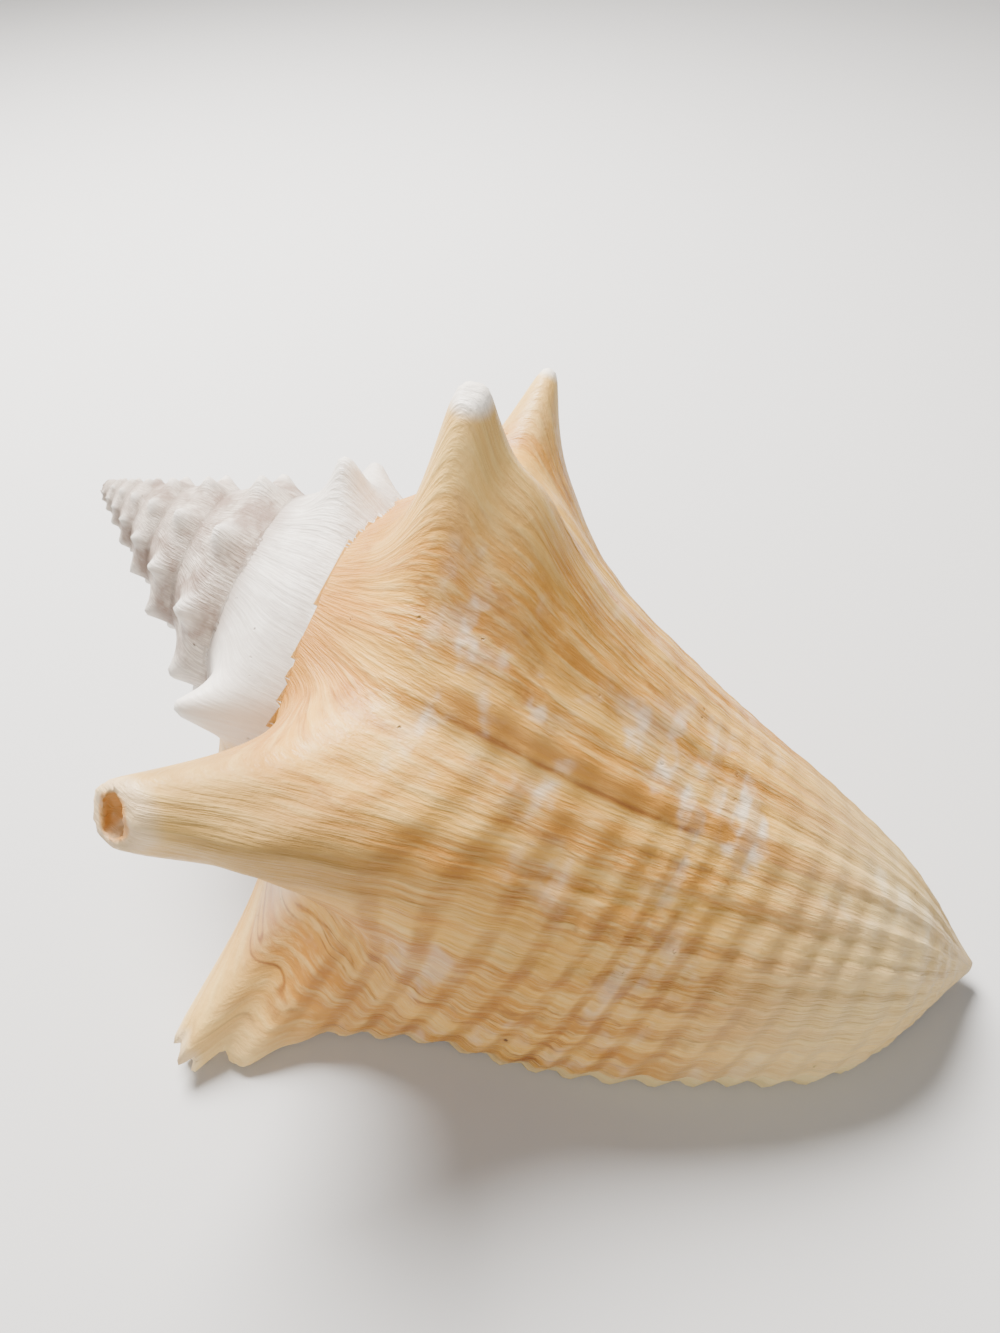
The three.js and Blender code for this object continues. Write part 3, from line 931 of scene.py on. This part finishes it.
def floor_material(colour):
    material = bpy.data.materials.new("floor")
    material.use_nodes = True
    kit = NodeKit(material)
    shader = kit.nodes["Principled BSDF"]
    place = kit.add("ShaderNodeTexCoord").outputs["Object"]
    cloud = kit.noise(place, 3.0)
    light = (colour[0] * 1.03, colour[1] * 1.03, colour[2] * 1.03, 1)
    kit.put(shader.inputs["Base Color"], kit.mix(cloud, (*colour, 1), light))
    shader.inputs["Roughness"].default_value = 0.85
    return material


# Share of the key light's power in the fill light, and brightness of the surroundings
FILL_SHARE = 0.1
WORLD_STRENGTH = 0.26


def add_area(name, place, target, size, power, colour):
    lamp = bpy.data.lights.new(name, "AREA")
    lamp.shape = "DISK"
    lamp.size = size
    lamp.energy = power
    lamp.color = colour
    item = bpy.data.objects.new(name, lamp)
    item.location = place
    item.rotation_euler = (Vector(target) - Vector(place)).to_track_quat("-Z", "Y").to_euler()
    bpy.context.scene.collection.objects.link(item)


def camera_matrix(settings, place):
    """Looks down by the pitch after turning from +Y, then rolls."""
    pitch = settings.camera_pitch
    forward = Vector((0, math.cos(pitch), -math.sin(pitch)))
    right = Vector((1, 0, 0))
    up = right.cross(forward)
    c = math.cos(-settings.camera_roll)
    s = math.sin(-settings.camera_roll)
    right, up = c * right - s * up, s * right + c * up
    turn = Matrix.Rotation(settings.camera_turn, 3, "Z")
    columns = [turn @ right, turn @ up, turn @ -forward]
    matrix = Matrix(((*columns[0],), (*columns[1],), (*columns[2],))).transposed().to_4x4()
    matrix.translation = place
    return matrix


def build_studio(settings):
    scene = bpy.context.scene
    bm = bmesh.new()
    bmesh.ops.create_grid(bm, x_segments=1, y_segments=1, size=settings.floor_size / 2)
    floor = linked_object("floor", bm)
    floor.data.materials.append(floor_material(settings.floor_colour))
    add_area("key", (-0.42, 0.3, 0.76), (0, 0, 0.05), 0.5, settings.key_power, (1, 0.98, 0.95))
    fill_power = settings.key_power * FILL_SHARE
    add_area("fill", (0.3, -0.8, 0.55), (0, 0, 0.04), 0.9, fill_power, (0.95, 0.98, 1))
    world = bpy.data.worlds.new("studio")
    world.use_nodes = True
    background = world.node_tree.nodes["Background"]
    background.inputs["Color"].default_value = (1, 0.98, 0.96, 1)
    background.inputs["Strength"].default_value = WORLD_STRENGTH
    scene.world = world
    lens = bpy.data.cameras.new("camera")
    lens.sensor_fit = "VERTICAL"
    lens.sensor_height = 36.0
    lens.lens = settings.lens
    lens.clip_start = 0.01
    camera = bpy.data.objects.new("camera", lens)
    camera.matrix_world = camera_matrix(settings, settings.camera_place)
    scene.collection.objects.link(camera)
    scene.camera = camera


class CONCH_OT_build_shell(bpy.types.Operator):
    """Build the shell from its growth settings"""

    bl_idname = "conch.build_shell"
    bl_label = "Build shell"

    def execute(self, context):
        growth = Growth(context.scene.conch_shell)
        shell = build_shell(growth)
        shell.name = "conch_shell"
        shell.data.name = "conch_shell"
        shell.data.materials.clear()
        shell.data.materials.append(shell_material(growth))
        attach(shell, "root")
        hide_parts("shell")
        return {"FINISHED"}


class CONCH_OT_build_studio(bpy.types.Operator):
    """Build the floor, the lights and the camera"""

    bl_idname = "conch.build_studio"
    bl_label = "Build studio"

    def execute(self, context):
        build_studio(context.scene.conch_studio)
        return {"FINISHED"}


class CONCH_PT_panel(bpy.types.Panel):
    """Shell settings in the sidebar"""

    bl_label = "Queen conch shell"
    bl_idname = "CONCH_PT_panel"
    bl_space_type = "VIEW_3D"
    bl_region_type = "UI"
    bl_category = "Shell"

    def draw(self, context):
        for settings in (context.scene.conch_shell, context.scene.conch_studio):
            for name in settings.__annotations__:
                self.layout.prop(settings, name)
        self.layout.operator("conch.build_shell")
        self.layout.operator("conch.build_studio")


CLASSES = (
    ShellSettings, StudioSettings, CONCH_OT_build_shell, CONCH_OT_build_studio, CONCH_PT_panel)


def register():
    for item in CLASSES:
        bpy.utils.register_class(item)
    bpy.types.Scene.conch_shell = PointerProperty(type=ShellSettings)
    bpy.types.Scene.conch_studio = PointerProperty(type=StudioSettings)


def unregister():
    del bpy.types.Scene.conch_studio
    del bpy.types.Scene.conch_shell
    for item in reversed(CLASSES):
        bpy.utils.unregister_class(item)


def main():
    register()
    bpy.ops.conch.build_shell()
    bpy.ops.conch.build_studio()


if __name__ == "__main__":
    main()
